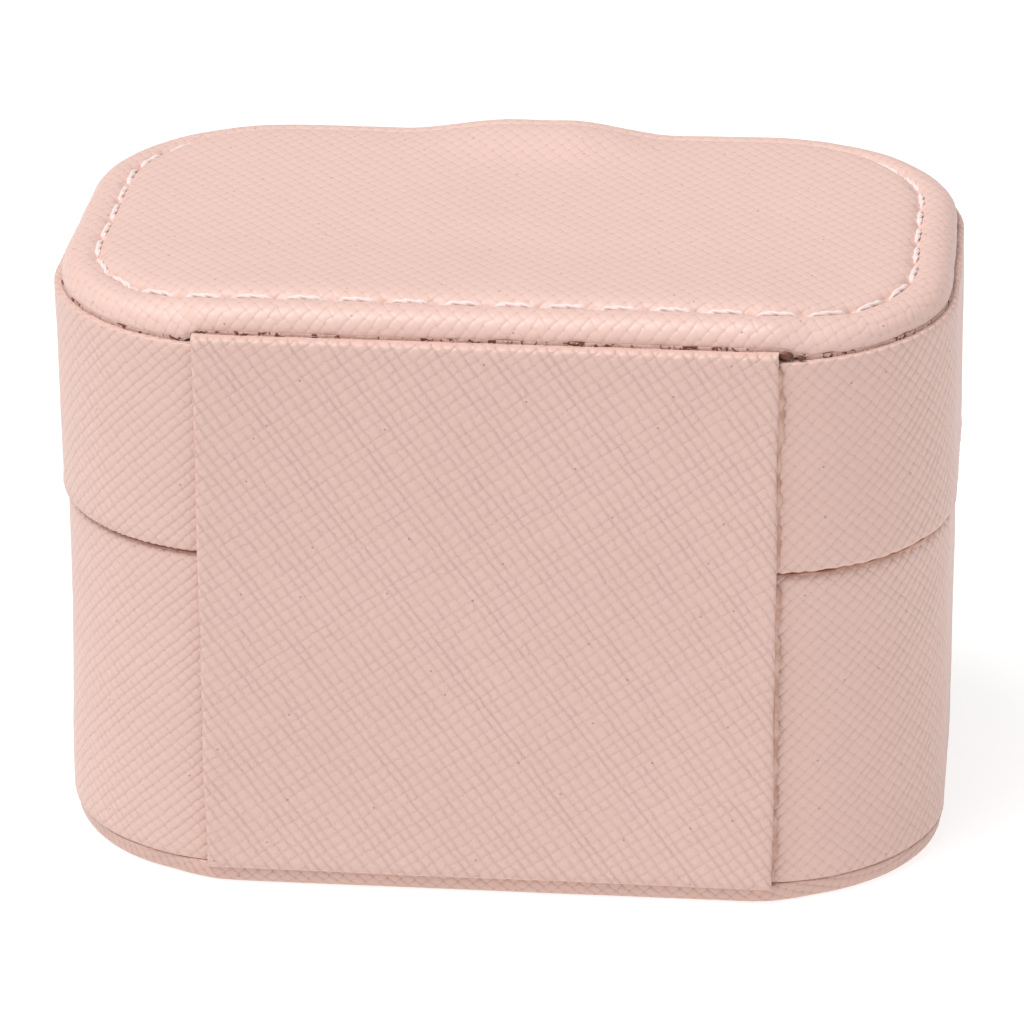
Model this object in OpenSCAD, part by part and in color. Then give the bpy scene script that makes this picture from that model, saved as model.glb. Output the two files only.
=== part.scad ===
// Small travel jewellery case: a board base and a board lid, both wrapped in
// embossed leather, joined at the back by a leather hinge strip. The front is
// at -Y, the hinge at +Y, and the case rests on z = 0. Sizes are millimetres.

/* [Case] */
// Width of the case, left to right
case_w = 90; // [76:1:110]
// Depth of the case over its leather walls, front to back
case_d = 58; // [54:1:70]
// Radius of the upright corners
corner_r = 20; // [14:1:24]
// Height of the parting line between base and lid
parting_z = 36; // [32:1:46]
// Height of the lid's leather walls
lid_wall_h = 22; // [18:1:30]
// Gap between the base's top edge and the lid's lower edge
parting_gap = 0.4; // [0.3:0.1:0.8]

/* [Board and leather] */
// Thickness of the leather wrapping
leather_t = 0.8; // [0.6:0.1:1]
// Thickness of the base's board wall
base_board_t = 2.4; // [2:0.1:2.8]
// Thickness of the lid's board wall
lid_board_t = 1.8; // [1.4:0.1:2]
// Thickness of the base's floor board
floor_t = 2; // [1.5:0.1:3]
// How far the top and bottom panels stand in from the walls
panel_inset = 0.6; // [0.4:0.1:1]
// Thickness of the bottom panel
bottom_panel_t = 2.2; // [1.8:0.1:3]
// Thickness of the padded top panel
top_panel_t = 3; // [2.8:0.1:3.6]
// Radius of the top panel's rolled edge
top_edge_r = 2.2; // [1.8:0.1:2.4]

/* [Inside] */
// Thickness of the collar that locates the lid
collar_t = 1.4; // [1:0.1:2]
// Height of the collar above the parting line
collar_rise = 4.5; // [3:0.5:6]
// Thickness of the padded floor lining
floor_pad_t = 1; // [0.8:0.1:2]
// Thickness of the dividers
divider_t = 1.6; // [1:0.1:2.5]
// Place of the main divider, from the middle of the case
divider_x = 8; // [4:1:12]
// Height of the block under the ring rolls
ring_block_h = 14.8; // [8:0.2:18]
// Number of ring rolls; their names in NODES go up to this number
ring_rolls = 4; // [4:1:4]
// Length and width of the lid mirror
mirror_size = [60, 36]; // [40:1:64]
// Thickness of the mirror
mirror_t = 1.3; // [1:0.1:1.5]

/* [Hinge strip] */
// Width of the leather hinge strip at the back
strip_w = 57; // [40:1:70]
// Thickness of the hinge strip
strip_t = 0.8; // [0.6:0.1:1]
// Gap between the strip's base half and its lid half
strip_gap = 0.2; // [0.2:0.05:0.4]

/* [Closure tab] */
// Width of the tab
tab_w = 20; // [16:1:24]
// Height of the tab's lower end
tab_low_z = 18; // [14:1:19]
// Height of the button and the magnet
button_z = 28; // [27:1:29]
// Gap between the tab and the front walls
tab_gap = 0.3; // [0.3:0.05:0.5]
// Radius of the button cap
button_r = 5.5; // [4:0.5:7]
// How far the button cap stands out from the tab
button_h = 1.6; // [1:0.1:2]

/* [Stitching] */
// Number of stitches round the top panel
top_stitches = 46; // [30:2:52]
// Distance from the top panel's edge to the stitches
stitch_inset = 3.7; // [3:0.1:5]
// Length, width and height of one stitch
stitch_size = [3.3, 0.6, 0.3]; // [0.2:0.1:4]

/* [Hidden] */
$fn = 64;

// The rectangle that joins the four corner centres
core_x = case_w - 2 * corner_r;
core_y = case_d - 2 * corner_r;
// Insets from the outer walls, from the outside in
collar_inset = leather_t + base_board_t;
room_inset = collar_inset + collar_t;
lid_room_inset = leather_t + lid_board_t;
lid_lining_t = 1;
// Heights, from the floor up
base_top_z = parting_z - parting_gap / 2;
floor_top_z = bottom_panel_t + floor_t;
pad_top_z = floor_top_z + floor_pad_t;
ring_block_top_z = pad_top_z + ring_block_h;
divider_top_z = base_top_z - leather_t - 1;
collar_top_z = parting_z + collar_rise;
lid_low_z = parting_z + parting_gap / 2;
lid_top_z = lid_low_z + lid_wall_h;
lid_plate_t = 1.8;
ceiling_pad_t = 1.2;
ceiling_z = lid_top_z - lid_plate_t;
ceiling_pad_z = ceiling_z - ceiling_pad_t;
lining_low_z = collar_top_z + 1;
case_top_z = lid_top_z + top_panel_t;
// Layers of the top panel
top_cover_side_t = 0.8;
top_board_t = 1.4;
foam_top_z = case_top_z - top_cover_side_t;
foam_inset = panel_inset + 1.8;
// Layers of the bottom panel
bottom_leather_t = 0.7;
// Room inside the collar
room_w = case_w - 2 * room_inset;
room_d = case_d - 2 * room_inset;
// Ring rolls
roll_clearance = 0.4;
roll_pitch = room_d / ring_rolls;
roll_r = (roll_pitch - roll_clearance) / 2;
roll_end_gap = 0.2;
// Mirror and its frame
mirror_lip = 1;
mirror_frame_w = 3;
mirror_corner_r = 4;
mirror_frame_t = mirror_t + 0.7;
// Closure tab
front_y = -case_d / 2;
tab_back_y = front_y - tab_gap;
tab_mid_y = tab_back_y - leather_t;
tab_front_y = tab_mid_y - leather_t;
tab_top_z = lid_top_z - 0.3;
anchor_t = 0.8;
anchor_end_y = front_y + 15;
magnet_r = 5;
magnet_t = 1;
magnet_clearance = 0.05;
button_post_r = 1.2;
button_edge_t = 0.5;
keeper_size = [14, 0.9, 10];
// Tab stitching
tab_stitch_inset = 1.8;
tab_stitch_size = [2.6, 0.5, 0.25];
tab_stitch_pitch = 3.9;
tab_side_stitches = 7;
tab_end_stitches = 7;
// Colours
blush = "#ddbbb0";
velvet = "#e9ddd6";
board = "#b9ab98";
thread = "#f3e6e2";
gold = "#d8b36a";
steel = "#a9adb2";

// Outline of the case seen from above, moved in by an inset
module outline(inset) {
    r = corner_r - inset;
    square([core_x, core_y + 2 * r], center = true);
    square([core_x + 2 * r, core_y], center = true);
    for (x = [-1, 1], y = [-1, 1])
        translate([x * core_x / 2, y * core_y / 2]) circle(r);
}

// Solid slab of that outline between two heights
module slab(inset, z0, z1) {
    translate([0, 0, z0]) linear_extrude(z1 - z0) outline(inset);
}

// Wall between two insets and two heights
module wall(outer, inner, z0, z1) {
    translate([0, 0, z0]) linear_extrude(z1 - z0) difference() {
        outline(outer);
        outline(inner);
    }
}

// Carries a profile round the case: the profile's x is the distance out from
// the core rectangle, and its y is the height
module around() {
    for (turn = [0, 180]) rotate(turn) {
        translate([core_x / 2, core_y / 2, 0])
            rotate_extrude(angle = 90) children();
        translate([-core_x / 2, core_y / 2, 0])
            rotate(90) rotate_extrude(angle = 90) children();
        translate([-core_x / 2, core_y / 2, 0])
            rotate([90, 0, 90]) linear_extrude(core_x) children();
        translate([core_x / 2, core_y / 2, 0])
            rotate([90, 0, 0]) linear_extrude(core_y) children();
    }
}

// Rectangle of a profile, from one corner to the other
module span(x0, x1, y0, y1) {
    translate([x0, y0]) square([x1 - x0, y1 - y0]);
}

// Quarter disc of a profile, up being 1 for an upper edge and -1 for a lower
module rolled_edge(x, y, r, up) {
    translate([x, y]) intersection() {
        circle(r);
        span(0, r, up > 0 ? 0 : -r, up > 0 ? r : 0);
    }
}

// Point and heading at a distance s along half of a line that runs round the
// case at a radius r from the corner centres, from the left end of the front
function along(s, r) =
    let (quarter = PI * r / 2)
    s < core_x ? [s - core_x / 2, -core_y / 2 - r, 0] :
    s < core_x + quarter ?
        let (a = (s - core_x) / r * 180 / PI)
        [core_x / 2 + r * sin(a), -core_y / 2 - r * cos(a), a] :
    s < core_x + quarter + core_y ?
        [core_x / 2 + r, s - core_x - quarter - core_y / 2, 90] :
        let (a = (s - core_x - quarter - core_y) / r * 180 / PI)
        [core_x / 2 + r * cos(a), core_y / 2 + r * sin(a), 90 + a];

// Leather pan under the bottom board, with a rounded lower edge
module bottom_cover() color(blush) {
    outer = corner_r - panel_inset;
    inner = outer - bottom_leather_t;
    around() {
        span(0, inner, 0, bottom_leather_t);
        span(inner, outer, bottom_leather_t, bottom_panel_t);
        rolled_edge(inner, bottom_leather_t, bottom_leather_t, -1);
    }
    translate([-core_x / 2, -core_y / 2, 0])
        cube([core_x, core_y, bottom_leather_t]);
}

module bottom_board() color(board)
    slab(panel_inset + bottom_leather_t, bottom_leather_t, bottom_panel_t);

// Board tray of the base, with a pocket for the keeper plate
module base_shell() color(board) difference() {
    union() {
        slab(leather_t, bottom_panel_t, floor_top_z);
        wall(leather_t, collar_inset, floor_top_z, base_top_z - leather_t);
    }
    keeper_block();
}

// Leather round the base, turned in over the board's top edge
module base_wrap() color(blush) around() {
    outer = corner_r;
    inner = corner_r - leather_t;
    board_top = base_top_z - leather_t;
    span(inner, outer, bottom_panel_t, board_top);
    rolled_edge(inner, board_top, leather_t, 1);
    span(corner_r - collar_inset, inner, board_top, base_top_z);
}

module inner_collar() color(velvet)
    wall(collar_inset, room_inset, floor_top_z, collar_top_z);

module floor_lining() color(velvet)
    slab(room_inset, floor_top_z, pad_top_z);

// Block under the ring rolls, from the left wall to the main divider
module ring_block() color(velvet) intersection() {
    slab(room_inset, pad_top_z, ring_block_top_z);
    ring_room(pad_top_z, ring_block_top_z, 0);
}

// Space to the left of the main divider
module ring_room(z0, z1, gap) {
    right = divider_x - divider_t / 2 - gap;
    translate([-room_w / 2, -room_d / 2, z0])
        cube([right + room_w / 2, room_d, z1 - z0]);
}

// One padded roll, number 1 being at the front
module ring_roll(number) color(velvet) intersection() {
    y = -room_d / 2 + (number - 0.5) * roll_pitch;
    right = divider_x - divider_t / 2 - roll_end_gap;
    translate([-room_w / 2, y, ring_block_top_z + roll_r])
        rotate([0, 90, 0]) cylinder(r = roll_r, h = right + room_w / 2);
    slab(room_inset + roll_end_gap, ring_block_top_z, ring_block_top_z + 2 * roll_r);
}

module main_divider() color(velvet)
    translate([divider_x - divider_t / 2, -room_d / 2, pad_top_z])
        cube([divider_t, room_d, divider_top_z - pad_top_z]);

// Divider between the two compartments on the right
module cross_divider() color(velvet) {
    left = divider_x + divider_t / 2;
    translate([left, -divider_t / 2, pad_top_z])
        cube([room_w / 2 - left, divider_t, divider_top_z - pad_top_z]);
}

// Space of the steel plate in the front wall that the magnet holds to
module keeper_block() {
    translate([-keeper_size.x / 2, front_y + leather_t, button_z - keeper_size.z / 2])
        cube(keeper_size);
}

module keeper_plate() color(steel) keeper_block();

// Part of the hinge strip between two heights
module hinge_strip(z0, z1) color(blush)
    translate([-strip_w / 2, case_d / 2, z0]) cube([strip_w, strip_t, z1 - z0]);

module hinge_strip_base()
    hinge_strip(bottom_panel_t, parting_z - strip_gap / 2);

module hinge_strip_lid()
    hinge_strip(parting_z + strip_gap / 2, lid_top_z);

// Board tray of the lid
module lid_shell() color(board) {
    slab(leather_t, ceiling_z, lid_top_z);
    wall(leather_t, lid_room_inset, lid_low_z + leather_t, ceiling_z);
}

// Leather round the lid, turned in under the board's lower edge
module lid_wrap() color(blush) around() {
    outer = corner_r;
    inner = corner_r - leather_t;
    board_low = lid_low_z + leather_t;
    span(inner, outer, board_low, lid_top_z);
    rolled_edge(inner, board_low, leather_t, -1);
    span(corner_r - lid_room_inset, inner, lid_low_z, board_low);
}

module lid_lining() color(velvet)
    wall(lid_room_inset, lid_room_inset + lid_lining_t, lining_low_z, ceiling_pad_z);

module ceiling_pad() color(velvet)
    slab(lid_room_inset, ceiling_pad_z, ceiling_z);

// Slab of a rounded rectangle, hung from the ceiling pad
module mirror_slab(size, r, drop, t) {
    translate([0, 0, ceiling_pad_z - drop]) linear_extrude(t) {
        square([size.x - 2 * r, size.y], center = true);
        square([size.x, size.y - 2 * r], center = true);
        for (x = [-1, 1], y = [-1, 1])
            translate([x * (size.x / 2 - r), y * (size.y / 2 - r)]) circle(r);
    }
}

// Frame whose lip holds the mirror up
module mirror_frame() color(blush) difference() {
    margin = 2 * (mirror_frame_w - mirror_lip);
    lip = 2 * mirror_lip;
    mirror_slab([mirror_size.x + margin, mirror_size.y + margin],
        mirror_corner_r + margin / 2, mirror_frame_t, mirror_frame_t);
    mirror_slab([mirror_size.x - lip, mirror_size.y - lip],
        mirror_corner_r - mirror_lip, mirror_frame_t + 1, mirror_frame_t + 1);
    mirror_slab(mirror_size, mirror_corner_r, mirror_t, mirror_t + 1);
}

module mirror() color(steel)
    mirror_slab(mirror_size, mirror_corner_r, mirror_t, mirror_t);

// End of the closure tab, glued between the lid and the top panel
module anchor_block(t) {
    translate([-tab_w / 2, front_y, lid_top_z])
        cube([tab_w, anchor_end_y - front_y, t]);
}

module tab_anchor() color(blush) anchor_block(anchor_t);

module top_board() color(board) difference() {
    slab(panel_inset + top_cover_side_t, lid_top_z, lid_top_z + top_board_t);
    anchor_block(anchor_t);
}

module top_foam() color("#f1e9c8")
    slab(foam_inset, lid_top_z + top_board_t, foam_top_z);

// Leather over the top panel, with a rolled edge and a notch for the tab
module top_cover() color(blush) difference() {
    outer = corner_r - panel_inset;
    board_edge = outer - top_cover_side_t;
    foam_edge = corner_r - foam_inset;
    roll_x = outer - top_edge_r;
    roll_z = case_top_z - top_edge_r;
    board_z = lid_top_z + top_board_t;
    union() {
        around() difference() {
            union() {
                span(0, roll_x, lid_top_z, case_top_z);
                span(roll_x, outer, lid_top_z, roll_z);
                rolled_edge(roll_x, roll_z, top_edge_r, 1);
            }
            span(-1, board_edge, lid_top_z - 1, board_z);
            span(-1, foam_edge, lid_top_z, foam_top_z);
        }
        translate([-core_x / 2, -core_y / 2, foam_top_z])
            cube([core_x, core_y, case_top_z - foam_top_z]);
    }
    anchor_block(anchor_t);
}

// Stitches round the top panel
module top_stitching() color(thread) {
    r = corner_r - panel_inset - stitch_inset;
    half = core_x + core_y + PI * r;
    pitch = 2 * half / top_stitches;
    for (turn = [0, 180], i = [0 : top_stitches / 2 - 1]) {
        place = along((i + 0.5) * pitch, r);
        rotate(turn)
            translate([place[0], place[1], case_top_z + stitch_size.z / 2])
                rotate(place[2]) cube(stitch_size, center = true);
    }
}

// Layer of the closure tab between two y places, with a round lower end
module tab_layer(y0, t) {
    r = tab_w / 2;
    translate([0, y0, 0]) rotate([90, 0, 0]) linear_extrude(t) {
        translate([-r, tab_low_z + r]) square([tab_w, tab_top_z - tab_low_z - r]);
        translate([0, tab_low_z + r]) circle(r);
    }
}

// Disc or post across the tab, from y0 towards the front
module tab_disc(r, y0, t) {
    translate([0, y0, button_z]) rotate([90, 0, 0]) cylinder(r = r, h = t);
}

module tab_back_leather() color(blush) difference() {
    tab_layer(tab_back_y, leather_t);
    tab_disc(magnet_r + magnet_clearance, tab_mid_y + magnet_t / 2, magnet_t);
}

module tab_front_leather() color(blush) difference() {
    tab_layer(tab_mid_y, leather_t);
    tab_disc(magnet_r + magnet_clearance, tab_mid_y + magnet_t / 2, magnet_t);
    tab_disc(button_post_r + magnet_clearance, tab_mid_y, 2 * leather_t);
}

module tab_magnet() color(steel)
    tab_disc(magnet_r, tab_mid_y + magnet_t / 2, magnet_t);

// Domed button cap on a short post that reaches the magnet
module closure_button() color(gold) {
    dome_h = button_h - button_edge_t;
    dome_r = (button_r * button_r + dome_h * dome_h) / (2 * dome_h);
    tab_disc(button_post_r, tab_mid_y - magnet_t / 2, leather_t - magnet_t / 2);
    translate([0, tab_front_y, button_z]) rotate([90, 0, 0]) rotate_extrude() {
        span(0, button_r, 0, button_edge_t);
        intersection() {
            translate([0, button_h - dome_r]) circle(dome_r, $fn = 128);
            span(0, button_r, button_edge_t, button_h);
        }
    }
}

// Stitches down both sides of the tab and round its lower end
module tab_stitching() color(thread) {
    r = tab_w / 2 - tab_stitch_inset;
    centre_z = tab_low_z + tab_w / 2;
    y = tab_front_y - tab_stitch_size.z / 2;
    for (side = [-1, 1], i = [0 : tab_side_stitches - 1])
        translate([side * r, y, centre_z + (i + 0.5) * tab_stitch_pitch])
            rotate([90, 90, 0]) cube(tab_stitch_size, center = true);
    for (i = [0 : tab_end_stitches - 1]) {
        a = 180 + (i + 0.5) * 180 / tab_end_stitches;
        translate([r * cos(a), y, centre_z + r * sin(a)])
            rotate([90, 90 - a, 0]) cube(tab_stitch_size, center = true);
    }
}

bottom_cover();
bottom_board();
base_shell();
base_wrap();
inner_collar();
floor_lining();
ring_block();
ring_roll(1);  // ring_roll_1
ring_roll(2);  // ring_roll_2
ring_roll(3);  // ring_roll_3
ring_roll(4);  // ring_roll_4
main_divider();
cross_divider();
keeper_plate();
hinge_strip_base();
lid_shell();
lid_wrap();
lid_lining();
ceiling_pad();
mirror_frame();
mirror();
hinge_strip_lid();
tab_anchor();
top_board();
top_foam();
top_cover();
top_stitching();
tab_back_leather();
tab_front_leather();
tab_magnet();
closure_button();
tab_stitching();
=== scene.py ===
"""Looks of a small leather jewellery case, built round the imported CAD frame."""

import math
import random

import bmesh
import bpy
import numpy as np
from mathutils import Matrix, Vector, noise


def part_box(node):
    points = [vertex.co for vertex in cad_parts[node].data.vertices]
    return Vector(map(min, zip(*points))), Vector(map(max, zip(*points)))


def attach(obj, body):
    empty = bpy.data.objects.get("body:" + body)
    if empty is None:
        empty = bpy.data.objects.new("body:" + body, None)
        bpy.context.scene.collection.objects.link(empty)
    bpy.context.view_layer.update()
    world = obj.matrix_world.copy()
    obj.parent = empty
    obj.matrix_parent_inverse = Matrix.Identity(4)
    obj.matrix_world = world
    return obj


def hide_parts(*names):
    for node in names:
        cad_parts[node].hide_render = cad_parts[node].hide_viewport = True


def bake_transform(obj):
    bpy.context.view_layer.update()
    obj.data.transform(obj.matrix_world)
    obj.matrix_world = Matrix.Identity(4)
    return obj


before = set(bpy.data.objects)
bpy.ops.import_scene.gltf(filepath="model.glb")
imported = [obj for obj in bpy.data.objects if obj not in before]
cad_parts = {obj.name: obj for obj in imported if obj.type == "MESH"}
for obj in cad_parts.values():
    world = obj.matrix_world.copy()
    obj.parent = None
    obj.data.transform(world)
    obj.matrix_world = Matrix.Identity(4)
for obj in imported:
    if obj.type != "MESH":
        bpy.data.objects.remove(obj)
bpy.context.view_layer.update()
scene = bpy.context.scene
random.seed(7)

# Lengths below are in millimetres, and meshes are scaled to metres as made
MM = 0.001


def box_mm(node):
    """Lowest and highest corner of a CAD node, in millimetres."""
    low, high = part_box(node)
    return np.array(low) / MM, np.array(high) / MM


# ---- sizes
BASE_LOW, BASE_HIGH = box_mm("base_wrap")
LID_LOW, LID_HIGH = box_mm("lid_wrap")
COVER_LOW, COVER_HIGH = box_mm("top_cover")
RIM_HIGH = box_mm("bottom_cover")[1]
STRIP_LOW, STRIP_HIGH = box_mm("hinge_strip_base")
TAB_LOW, TAB_HIGH = box_mm("tab_front_leather")
ANCHOR_LOW, ANCHOR_HIGH = box_mm("tab_anchor")
HALF_W, HALF_D = BASE_HIGH[0], BASE_HIGH[1]
CORNER_R = 20
CORE = (HALF_W - CORNER_R, HALF_D - CORNER_R)
LEATHER = 0.8
PANEL_INSET = HALF_W - COVER_HIGH[0]
STITCH_INSET = 3.7
TOP_STITCHES = 46
STITCH_R = CORNER_R - PANEL_INSET - STITCH_INSET
# Height of the stitched line over the panel's lower edge
STITCH_RISE = 2.54


# ---- camera
def add_camera():
    """Camera behind the case, a little above and to the left of its middle."""
    distance, focal_length, sensor_width = 585, 199.4, 36
    pitch, yaw, roll_angle = (math.radians(a) for a in (23.8, -5.98, -0.39))
    target = Vector((0.4, 0, 29.0)) * MM
    direction = Vector((math.cos(pitch) * math.sin(yaw),
                        math.cos(pitch) * math.cos(yaw), math.sin(pitch)))
    data = bpy.data.cameras.new("camera")
    data.sensor_width, data.lens, data.clip_start = sensor_width, focal_length, 0.01
    camera = bpy.data.objects.new("camera", data)
    scene.collection.objects.link(camera)
    place = Matrix.Translation(target + direction * distance * MM)
    turn = (-direction).to_track_quat("-Z", "Y").to_matrix().to_4x4()
    camera.matrix_world = place @ turn @ Matrix.Rotation(roll_angle, 4, "Z")
    scene.camera = camera


# ---- node help
class Nodes:
    """Makes and joins the nodes of one material."""

    def __init__(self, name):
        self.material = bpy.data.materials.new(name)
        self.material.use_nodes = True
        self.tree = self.material.node_tree
        self.shader = self.tree.nodes["Principled BSDF"]

    def feed(self, socket, value):
        """Sets a socket, or joins another node's output to it."""
        if isinstance(value, bpy.types.NodeSocket):
            self.tree.links.new(value, socket)
        else:
            socket.default_value = value

    def add(self, kind, inputs, output=0, **settings):
        """Adds a node with its settings and inputs, and returns an output."""
        node = self.tree.nodes.new("ShaderNode" + kind)
        for key, value in settings.items():
            setattr(node, key, value)
        for key, value in inputs.items():
            self.feed(node.inputs[key], value)
        return node.outputs[output]

    def place(self):
        return self.add("TexCoord", {}, "Object")

    def grain(self):
        return self.add("UVMap", {}, uv_map="grain")

    def mapped(self, vector, stretch, angle=0):
        turn = (0, 0, math.radians(angle))
        inputs = {"Vector": vector, "Rotation": turn, "Scale": stretch}
        return self.add("Mapping", inputs)

    def math(self, operation, *values):
        return self.add("Math", dict(enumerate(values)), operation=operation)

    def noise(self, vector, scale, detail=2.0, rough=0.5, dims="3D", output="Fac"):
        inputs = {"W" if dims == "1D" else "Vector": vector, "Scale": scale,
                  "Detail": detail, "Roughness": rough}
        return self.add("TexNoise", inputs, output, noise_dimensions=dims)

    def cells(self, vector, scale, **settings):
        """Distance in a pattern of irregular cells."""
        inputs = {"Vector": vector, "Scale": scale}
        return self.add("TexVoronoi", inputs, "Distance", **settings)

    def ramp(self, value, low, high, to_low=0.0, to_high=1.0, smooth=True):
        inputs = {"Value": value, "From Min": low, "From Max": high,
                  "To Min": to_low, "To Max": to_high}
        kind = "SMOOTHSTEP" if smooth else "LINEAR"
        return self.add("MapRange", inputs, interpolation_type=kind)

    def mix(self, factor, a, b, blend="MIX"):
        inputs = {0: factor, 6: a, 7: b}
        return self.add("Mix", inputs, 2, data_type="RGBA", blend_type=blend)

    def split(self, vector):
        return self.add("SeparateXYZ", {0: vector}).node.outputs

    def join(self, x, y, z=0.0):
        return self.add("CombineXYZ", {0: x, 1: y, 2: z})

    def bump(self, height, depth):
        """Bump of a height from 0 to 1, depth millimetres deep."""
        return self.add("Bump", {"Height": height, "Distance": depth * MM})

    def set(self, **values):
        """Sets the shader's sockets by name, with _ for a space."""
        for key, value in values.items():
            self.feed(self.shader.inputs[key.replace("_", " ")], value)
        return self.material


def rgb(red, green, blue):
    """Linear colour of an sRGB colour given from 0 to 255."""
    def linear(part):
        part = part / 255
        return part / 12.92 if part < 0.04045 else ((part + 0.055) / 1.055) ** 2.4

    return (linear(red), linear(green), linear(blue), 1.0)


# ---- materials
def leather(name, angle, stretch, pitches, bunching, sway, depth, shade, tone):
    """Cross-hatch embossed leather: rounded cells between two sets of grooves.

    The map named grain holds distances over the leather in millimetres. angle
    turns the grooves, stretch squeezes them along both axes of the map, and
    pitches are the distances between them. bunching says how uneven those are,
    sway how far the grooves wander, shade how much painted shade darkens the
    grooves and their crossings against the cells, and tone how light the whole
    leather is.
    """
    n = Nodes(name)
    uv = n.grain()
    x, y, _ = n.split(n.mapped(uv, (*stretch, 1), angle))
    warp_x, warp_y, _ = n.split(n.noise(uv, 0.45, 1.0, dims="2D", output="Color"))
    places, grooves = [], []
    for across, pitch, wander, wide, weight, seed in (
        (x, pitches[0], warp_x, 0.40, 1.05, 31.0),
        (y, pitches[1], warp_y, 0.36, 0.8, 67.0),
    ):
        uneven = n.noise(n.math("ADD", across, seed), 0.30, 1.5, dims="1D")
        place = n.math("MULTIPLY_ADD", uneven, 1.2 * bunching, across)
        place = n.math("MULTIPLY_ADD", wander, 2 * sway, place)
        place = n.math("DIVIDE", place, pitch)
        edge = n.math("PINGPONG", place, 0.5)
        fall = n.ramp(edge, 0.0, wide, 1.0, 0.0, smooth=False)
        places.append(n.math("FLOOR", place))
        grooves.append(n.math("MULTIPLY", n.math("MULTIPLY", fall, fall), weight))
    lottery = n.add("TexWhiteNoise", {"Vector": n.join(*places)}, "Value",
                    noise_dimensions="2D")
    tall = n.ramp(lottery, 0, 1, 0.7, 1.0, smooth=False)
    pit = n.math("MULTIPLY", *grooves)
    pillow = n.math("SUBTRACT", 1.0, n.math("ADD", *grooves))
    pillow = n.math("MULTIPLY_ADD", pit, 0.4, pillow)
    height = n.math("MULTIPLY", pillow, tall)
    crumple = n.noise(uv, 1.9, 3.0, 0.55, dims="2D")
    fine = n.noise(uv, 7.0, 3.0, 0.7, dims="2D")
    relief = n.math("MULTIPLY_ADD", crumple, 0.35, height)
    relief = n.math("MULTIPLY_ADD", fine, 0.10, relief)
    mottle = n.noise(uv, 0.05, 4.0, 0.6, dims="2D")
    # Painted shade: the grooves are coloured darker than the cells, and their crossings
    # darker still, for the shade in these hollows.
    top = n.mix(mottle, rgb(228, 192, 181), rgb(232, 197, 187))
    groove = n.mix(mottle, rgb(213, 174, 161), rgb(217, 179, 167))
    colour = n.mix(n.ramp(height, -0.5, 0.3, 1 - shade, 1), groove, top)
    colour = n.mix(n.ramp(pit, 0.08, 0.6, 0, 0.6 * shade), colour, rgb(186, 143, 128))
    speck = n.cells(uv, 0.11, voronoi_dimensions="2D")
    speck = n.ramp(speck, 0.009, 0.016, 0.5, 0.0)
    colour = n.mix(speck, colour, rgb(120, 84, 70))
    warm = (tone ** 0.8, tone ** 1.1, tone ** 1.35, 1.0)
    return n.set(Base_Color=n.mix(1.0, colour, warm, blend="MULTIPLY"),
                 Roughness=n.ramp(fine, 0.3, 0.7, 0.40, 0.50), Specular_IOR_Level=0.5,
                 Normal=n.bump(relief, depth))


def velvet(name, low, high):
    """Short-pile velvet, lighter where the pile lies towards the light."""
    n = Nodes(name)
    place = n.place()
    brushed = n.noise(place, 130, 2.0, 0.5)
    pile = n.noise(place, 2600, 2.0, 0.8)
    colour = n.mix(n.ramp(brushed, 0.2, 0.8), low, high)
    colour = n.mix(n.ramp(pile, 0.3, 0.7, 0.0, 0.35), colour, rgb(250, 240, 234))
    relief = n.math("ADD", n.math("MULTIPLY", brushed, 0.4), pile)
    return n.set(Base_Color=colour, Roughness=n.ramp(pile, 0.3, 0.7, 0.85, 1.0),
                 Sheen_Weight=0.6, Sheen_Roughness=0.4, Normal=n.bump(relief, 0.12))


def board():
    """Grey board with short fibres in it."""
    n = Nodes("grey_board")
    place = n.place()
    fibre = n.noise(place, 900, 5.0, 0.7)
    fleck = n.ramp(n.noise(place, 400, 2.0), 0.66, 0.74)
    colour = n.mix(fibre, rgb(150, 136, 118), rgb(186, 172, 152))
    colour = n.mix(n.math("MULTIPLY", fleck, 0.5), colour, rgb(96, 84, 72))
    return n.set(Base_Color=colour, Roughness=0.9, Normal=n.bump(fibre, 0.05))


def foam():
    """Open-cell foam sheet."""
    n = Nodes("foam_sheet")
    wall = n.ramp(n.cells(n.place(), 1800, feature="DISTANCE_TO_EDGE"), 0.0, 0.25)
    colour = n.mix(wall, rgb(240, 228, 190), rgb(214, 198, 150))
    return n.set(Base_Color=colour, Roughness=0.95, Normal=n.bump(wall, 0.15))


def thread():
    """Twisted sewing thread, its fibres running along the strand."""
    n = Nodes("sewing_thread")
    along, round_it, _ = n.split(n.grain())
    fibre = n.noise(n.join(n.math("MULTIPLY", along, 2.0), round_it), 9.0, 3.0, 0.7)
    colour = n.mix(fibre, rgb(238, 214, 208), rgb(252, 238, 234))
    return n.set(Base_Color=colour, Roughness=0.55, Sheen_Weight=0.25,
                 Sheen_Roughness=0.5, Normal=n.bump(fibre, 0.03))


def metal(name, colour_a, colour_b, rough_low, rough_high, stretch=(1, 1, 1)):
    """Polished or brushed metal, with fine scratches and smudges."""
    n = Nodes(name)
    place = n.place()
    scratch = n.noise(n.mapped(place, stretch), 2500, 3.0, 0.7)
    smudge = n.noise(place, 180, 3.0, 0.6)
    colour = n.mix(smudge, colour_a, colour_b)
    return n.set(Base_Color=colour, Metallic=1.0,
                 Roughness=n.ramp(smudge, 0.3, 0.7, rough_low, rough_high),
                 Normal=n.bump(scratch, 0.004))


def mirror_glass():
    """Silvered mirror with a few faint smears."""
    n = Nodes("mirror_glass")
    smear = n.noise(n.place(), 60, 4.0, 0.6)
    colour = n.mix(smear, rgb(232, 236, 238), rgb(244, 246, 247))
    return n.set(Base_Color=colour, Metallic=1.0,
                 Roughness=n.ramp(smear, 0.45, 0.75, 0.02, 0.07))


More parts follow.
